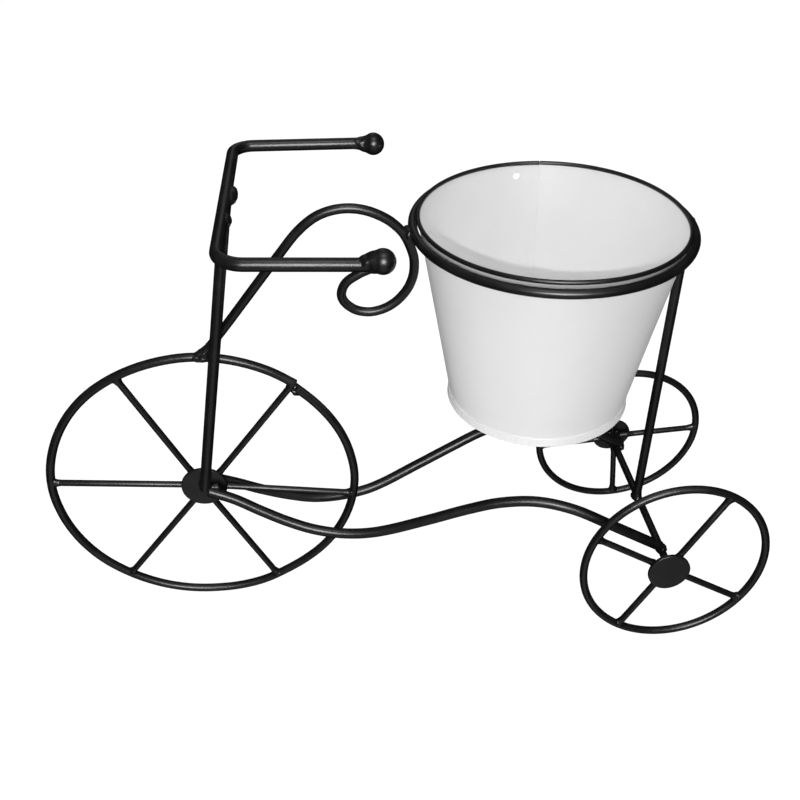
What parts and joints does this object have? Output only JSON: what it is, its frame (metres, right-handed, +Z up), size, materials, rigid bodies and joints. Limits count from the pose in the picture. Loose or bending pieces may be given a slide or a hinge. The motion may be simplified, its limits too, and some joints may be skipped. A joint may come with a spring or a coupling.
{
  "type": "tricycle planter",
  "caption": "Tricycle-shaped plant stand: a black wire frame with spoked wheels, a handlebar and a scroll holds a tapered white pot that lifts out of a ring.",
  "frame": {"origin": "on the floor, under the middle of the object's length and on the plane of the front wheel", "axes": "+X from the front wheel towards the rear wheels, +Y to the far side in the picture (the side away from the front hub's disc), +Z up"},
  "size_m": [0.5791, 0.21, 0.3811],
  "materials": {
    "black_paint": "semi-gloss black paint over welds",
    "white_paint": "satin white enamel"
  },
  "bodies": {
    "frame": {"rear_axle": "black_paint", "rear_post": "black_paint", "front_post": "black_paint", "left_frame_rod": "black_paint", "right_frame_rod": "black_paint", "scroll_brace": "black_paint", "pot_ring": "black_paint", "handlebar": "black_paint", "left_grip_ball": "black_paint", "right_grip_ball": "black_paint", "front_wheel_rim": "black_paint", "front_wheel_hub_disc": "black_paint", "front_wheel_spoke_1": "black_paint", "front_wheel_spoke_2": "black_paint", "front_wheel_spoke_3": "black_paint", "front_wheel_spoke_4": "black_paint", "front_wheel_spoke_5": "black_paint", "front_wheel_spoke_6": "black_paint", "left_rear_wheel_rim": "black_paint", "left_rear_wheel_hub_disc": "black_paint", "left_rear_wheel_spoke_1": "black_paint", "left_rear_wheel_spoke_2": "black_paint", "left_rear_wheel_spoke_3": "black_paint", "left_rear_wheel_spoke_4": "black_paint", "right_rear_wheel_rim": "black_paint", "right_rear_wheel_hub_disc": "black_paint", "right_rear_wheel_spoke_1": "black_paint", "right_rear_wheel_spoke_2": "black_paint", "right_rear_wheel_spoke_3": "black_paint", "right_rear_wheel_spoke_4": "black_paint"},
    "pot": {"pot_wall": "white_paint", "pot_floor": "white_paint", "pot_foot_skirt": "white_paint", "pot_rim_bead": "black_paint"}
  },
  "joints": [
    {"name": "pot_lift", "type": "slide", "parent": "frame", "child": "pot", "axis": [0, 0, 1], "range_m": [0, 0.19]}
  ]
}
